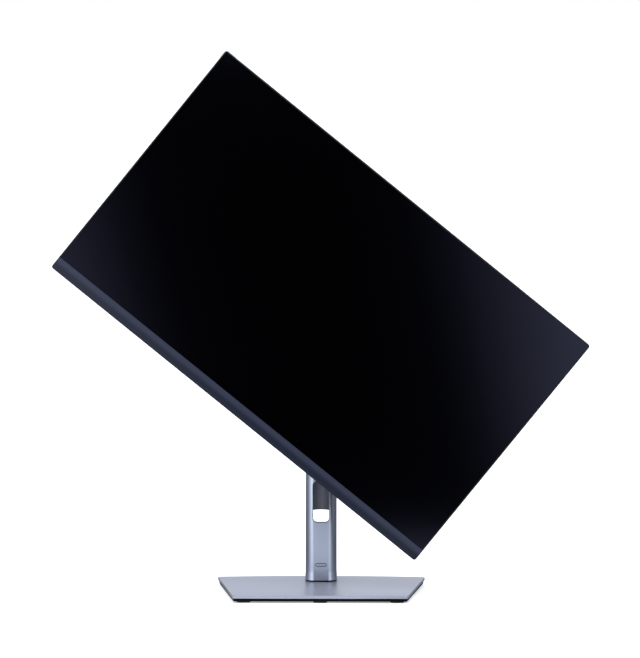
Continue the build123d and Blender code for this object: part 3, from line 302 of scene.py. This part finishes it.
# The chin's plastic carries painted light: its colour is painted paler towards the screen.
dress(surface("slate_plastic_painted_light", (0.002, 0.005, 0.018), roughness=0.32, grain=0.30, depth=0.008,
              variation=0.10, specular=0.30, smudge=0.05, across=chin_painted_shading),
      "chin_trim")
dress(surface("rim_plastic", (0.010, 0.011, 0.015), roughness=0.42, grain=0.35, depth=0.008,
              variation=0.12, specular=0.35),
      "screen_rim")
dress(surface("back_plastic", (0.016, 0.017, 0.021), roughness=0.52, grain=0.9, depth=0.05,
              variation=0.14, specular=0.45),
      "rear_cover")
dress(surface("hinge_plastic", (0.030, 0.032, 0.040), roughness=0.5, grain=0.8, depth=0.04, variation=0.12),
      "head_cover_upper", "head_cover_lower")
dress(surface("liner_plastic", (0.20, 0.215, 0.26), metallic=0.2, roughness=0.42, grain=0.5, depth=0.006,
              variation=0.05),
      "cable_passage_liner")
dress(surface("button_plastic", (0.028, 0.029, 0.034), roughness=0.33, grain=0.5, depth=0.01),
      "release_button", "power_button", "joystick_ring", "joystick_stem")
dress(surface("button_rubber", (0.02, 0.02, 0.022), roughness=0.75, grain=0.6, depth=0.04),
      "joystick_cap")
dress(surface("zinc_steel", (0.56, 0.57, 0.58), metallic=1.0, roughness=0.34, grain=1.4, depth=0.01,
              variation=0.12, stretch=(1, 1, 9), smudge=0.15),
      "mount_plate", "pivot_disc", "plate_screws", "tilt_bracket", "pivot_nut", "tilt_nuts", "vesa_bracket",
      "board_shield", "panel_tray", "rail_frame", "swivel_retainer", "hdmi_socket", "display_socket",
      "usb_b_socket", "usb_a_sockets")
dress(surface("turned_steel", (0.58, 0.58, 0.6), metallic=1.0, roughness=0.26, grain=0.5, depth=0.006,
              variation=0.10, stretch=(10, 1, 1), smudge=0.1),
      "tilt_axle", "pivot_shaft", "spring_axle", "thumb_screw", "thumb_screw_ring")
dress(surface("spring_steel", (0.36, 0.38, 0.43), metallic=1.0, roughness=0.3, grain=0.6, depth=0.006,
              variation=0.12, stretch=(1, 1, 12), smudge=0.12),
      "spring_drum", "lift_spring_strips", "tilt_washers", "swivel_washer", "latch")
dress(surface("cast_alloy", (0.40, 0.40, 0.42), metallic=0.9, roughness=0.55, grain=1.2, depth=0.06,
              variation=0.15, smudge=0.2),
      "carriage", "swivel_spindle")
dress(surface("blackened_steel", (0.05, 0.05, 0.055), metallic=0.8, roughness=0.4, grain=0.5, depth=0.01),
      "under_cover_screws")
dress(surface("acetal", (0.68, 0.67, 0.62), roughness=0.42, grain=0.8, depth=0.01, variation=0.04),
      "swivel_bush", "glide_shoes", "pivot_washer")
dress(surface("diffuser_film", (0.78, 0.79, 0.8), roughness=0.5, grain=0.3, depth=0.005, variation=0.03),
      "optical_sheets", "ribbon_cable")
dress(surface("acrylic", (0.8, 0.84, 0.86), roughness=0.12, grain=2.0, depth=0.005, variation=0.03),
      "light_guide", "led_strip")
dress(surface("chip_black", (0.02, 0.02, 0.022), roughness=0.45, grain=0.5, depth=0.01),
      "main_components")
dress(surface("badge_print", (0.10, 0.11, 0.15), roughness=0.4, grain=0.4, depth=0.004),
      "blank_badge")
dress(board_material("green_board", (0.012, 0.10, 0.045), (0.03, 0.20, 0.09)), "main_board", "control_board")
dress(board_material("tan_board", (0.30, 0.22, 0.09), (0.40, 0.30, 0.14)), "power_board")
dress(screen_material(), "lcd_glass")


# ---- studio -------------------------------------------------------------------------
FLOOR_REACH = 60.0
FLOOR_DARK = 0.88
FLOOR_LIGHT = 0.91
FLOOR_GLOW = 0.35
PAPER_SCALE = 60.0


def floor():
    """A white ground whose faint glow keeps it as white as the backdrop."""
    mesh = bpy.data.meshes.new("floor")
    corners = [(-FLOOR_REACH, -FLOOR_REACH, 0), (FLOOR_REACH, -FLOOR_REACH, 0),
               (FLOOR_REACH, FLOOR_REACH, 0), (-FLOOR_REACH, FLOOR_REACH, 0)]
    mesh.from_pydata(corners, [], [(0, 1, 2, 3)])
    plane = bpy.data.objects.new("floor", mesh)
    scene.collection.objects.link(plane)
    material = bpy.data.materials.new("floor_pale")
    g = empty_graph(material)
    output = g.add("ShaderNodeOutputMaterial")
    paper = g.noise(g.place(), PAPER_SCALE, detail=2.0)
    white = g.ramp(paper, [(0.3, FLOOR_DARK), (0.7, FLOOR_LIGHT)])
    diffuse = g.add("ShaderNodeBsdfDiffuse", {"Color": white})
    glow = g.add("ShaderNodeEmission", {"Color": rgba(WHITE), "Strength": FLOOR_GLOW})
    both = g.add("ShaderNodeAddShader", {0: diffuse.outputs[0], 1: glow.outputs[0]})
    g.links.new(both.outputs[0], output.inputs[0])
    mesh.materials.append(material)


TENT_SIDES = 96
TENT_RADIUS = 1.1
TENT_HEIGHT = 2.4
TENT_CENTRE_Y = 0.05
TENT_LIFT = 0.5 * MM
TENT_STRENGTH = 2.2
TENT_TINT = (0.93, 0.97, 1.06)
# The tent's brightness by direction, as a share of the half turn from the front:
# -1 is behind by way of the left side, 0 is in front and 1 is behind by way of the right.
TENT_WALLS = [(-0.90, 0.44), (-0.80, 0.12), (-0.60, 0.10), (-0.46, 0.18), (-0.36, 0.36), (-0.28, 0.60),
              (-0.20, 0.84), (-0.12, 0.92), (-0.06, 0.80), (0.06, 0.82), (0.11, 0.92), (0.17, 0.62),
              (0.24, 0.34), (0.33, 0.16), (0.44, 0.12), (0.60, 0.06), (0.80, 0.10), (0.90, 0.47)]
# Its dimming by height, as a share of the tent's: the floor, the walls and the ceiling.
TENT_DIMMING = [(0.0, 0.50), (0.004, 1.0), (0.06, 1.0), (0.16, 0.75), (0.99, 0.7), (1.0, 0.5)]
# The black flag: its middle as a share of the half turn, its lean in such shares for each metre above
# FLAG_LEAN_HEIGHT, and how it ends: sideways in such shares, upwards in metres of height, and on the
# floor in metres before the middle of the scene.
FLAG_CENTRE = 0.016
FLAG_LEAN = 0.07
FLAG_LEAN_HEIGHT = 0.35
FLAG_SIDES = [(0.050, 0.0), (0.148, 1.0)]
FLAG_TOP = [(0.62, 0.0), (0.80, 1.0)]
FLAG_NEAR = [(0.42, 1.0), (0.82, 0.0)]


def light_tent():
    """A round tent that only reflections see: bright panels at the sides, a black flag in front."""
    mesh = bpy.data.meshes.new("light_tent")
    middle = Matrix.Translation((0, TENT_CENTRE_Y, TENT_HEIGHT / 2 + TENT_LIFT))
    bm = bmesh.new()
    bmesh.ops.create_cone(bm, cap_ends=True, segments=TENT_SIDES, radius1=TENT_RADIUS, radius2=TENT_RADIUS,
                          depth=TENT_HEIGHT, matrix=middle)
    bm.to_mesh(mesh)
    bm.free()
    tent = bpy.data.objects.new("light_tent", mesh)
    scene.collection.objects.link(tent)
    material = bpy.data.materials.new("tent_light")
    g = empty_graph(material)
    output = g.add("ShaderNodeOutputMaterial")
    place = g.add("ShaderNodeSeparateXYZ", {"Vector": g.place()}).outputs
    forward = g.math("MULTIPLY", place["Y"], -1.0)
    share = g.math("DIVIDE", g.math("ARCTAN2", place["X"], forward), math.pi)
    walls = g.ramp(g.math("ADD", g.math("MULTIPLY", share, 0.5), 0.5),
                   [(0.5 + direction / 2, level) for direction, level in TENT_WALLS], "LINEAR")
    # The flag is a patch of the front wall and of the floor before it.
    lean = g.math("MULTIPLY", g.math("SUBTRACT", place["Z"], FLAG_LEAN_HEIGHT), FLAG_LEAN)
    aside = g.math("ADD", g.math("ADD", share, FLAG_CENTRE), lean)
    beside = g.ramp(g.math("ABSOLUTE", aside), FLAG_SIDES)
    above = g.ramp(place["Z"], FLAG_TOP, "LINEAR")
    near = g.ramp(forward, FLAG_NEAR, "LINEAR")
    outside = g.math("MAXIMUM", beside, g.math("MAXIMUM", above, near))
    dimming = g.ramp(g.math("DIVIDE", place["Z"], TENT_HEIGHT), TENT_DIMMING, "LINEAR")
    level = g.math("MULTIPLY", g.math("MULTIPLY", walls, outside), dimming)
    tinted = g.mix_colour(level, rgba(BLACK), rgba(TENT_TINT))
    emission = g.add("ShaderNodeEmission", {"Color": tinted, "Strength": TENT_STRENGTH})
    g.links.new(emission.outputs[0], output.inputs[0])
    mesh.materials.append(material)
    tent.visible_camera = False
    tent.visible_diffuse = False
    tent.visible_shadow = False
    tent.visible_transmission = False
    tent.visible_volume_scatter = False


BACKDROP_STRENGTH = 1.0
FILL_STRENGTH = 1.15
FILL_COLOUR = (0.96, 0.98, 1.0)


def world():
    """A white backdrop for the camera, and a slightly cool fill light for everything else."""
    studio = bpy.data.worlds.new("studio")
    scene.world = studio
    g = empty_graph(studio)
    output = g.add("ShaderNodeOutputWorld")
    seen_directly = g.add("ShaderNodeLightPath").outputs["Is Camera Ray"]
    backdrop = g.add("ShaderNodeBackground", {"Color": rgba(WHITE), "Strength": BACKDROP_STRENGTH})
    fill = g.add("ShaderNodeBackground", {"Color": rgba(FILL_COLOUR), "Strength": FILL_STRENGTH})
    mix = g.add("ShaderNodeMixShader", {0: seen_directly, 1: fill.outputs[0], 2: backdrop.outputs[0]})
    g.links.new(mix.outputs[0], output.inputs[0])


LAMP_TARGET = Vector((0, 0, 0.2))
# Each lamp's name, place in metres, width and height in metres, and power in watts.
LAMPS = [("key_top", (-0.6, -1.2, 2.4), (1.6, 1.2), 26),
         ("fill_right", (1.6, -1.0, 1.2), (0.8, 1.4), 8)]


def area_light(name, place, size, power):
    """A soft lamp for diffuse light only: reflections see the tent instead."""
    light = bpy.data.lights.new(name, "AREA")
    light.shape = "RECTANGLE"
    light.size, light.size_y = size
    light.energy = power
    lamp = bpy.data.objects.new(name, light)
    lamp.location = place
    lamp.visible_glossy = False
    lamp.rotation_euler = (LAMP_TARGET - Vector(place)).to_track_quat("-Z", "Y").to_euler()
    scene.collection.objects.link(lamp)


# The camera's place and aim in metres, its distance from the chin's front, and its roll in radians.
EYE_RIGHT = 0.0397
EYE_HEIGHT = 0.6761
EYE_DISTANCE = 5.0717
AIM_RIGHT = -0.0008
AIM_HEIGHT = 0.3122
ROLL = 0.0009
SENSOR_HEIGHT_MM = 24.0
LENS_MM = 161.6
CLIP_END = 200.0


def camera():
    data = bpy.data.cameras.new("camera")
    data.sensor_fit = "VERTICAL"
    data.sensor_height = SENSOR_HEIGHT_MM
    data.lens = LENS_MM
    data.clip_end = CLIP_END
    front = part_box("chin_trim")[0].y
    eye = Vector((EYE_RIGHT, front - EYE_DISTANCE, EYE_HEIGHT))
    aim = Vector((AIM_RIGHT, front, AIM_HEIGHT))
    facing = (aim - eye).to_track_quat("-Z", "Y").to_matrix().to_4x4()
    camera_object = bpy.data.objects.new("camera", data)
    camera_object.location = eye
    camera_object.rotation_euler = (facing @ Matrix.Rotation(ROLL, 4, "Z")).to_euler()
    scene.collection.objects.link(camera_object)
    scene.camera = camera_object


floor()
light_tent()
world()
for lamp_settings in LAMPS:
    area_light(*lamp_settings)
camera()
scene.view_settings.view_transform = "Standard"
